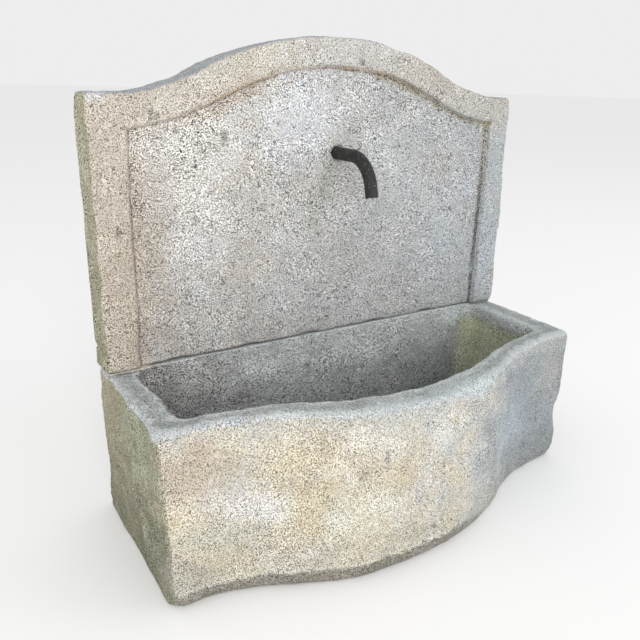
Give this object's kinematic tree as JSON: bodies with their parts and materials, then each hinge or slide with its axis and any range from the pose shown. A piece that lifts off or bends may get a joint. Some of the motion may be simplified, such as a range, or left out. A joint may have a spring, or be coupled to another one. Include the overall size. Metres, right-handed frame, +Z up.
{
  "type": "stone wall fountain",
  "caption": "Carved limestone wall fountain: a trough with a serpentine front, an arched back slab with a sunk panel, and a bent iron pipe spout.",
  "frame": {"origin": "on the ground, at the middle of the whole object's width and depth", "axes": "+Z up, -Y towards the front where water is drawn, +Y into the wall, +X to the right seen from the front"},
  "size_m": [1.023, 0.4832, 0.953],
  "materials": {
    "trough_stone": "rough, weathered warm limestone",
    "slab_stone": "rough, weathered grey-beige limestone",
    "mortar": "rough",
    "iron": "dark, slightly rusted"
  },
  "bodies": {
    "root": {"trough": "trough_stone", "back_slab": "slab_stone", "mortar_pad_left": "mortar", "mortar_pad_right": "mortar", "spout": "iron"}
  },
  "joints": []
}
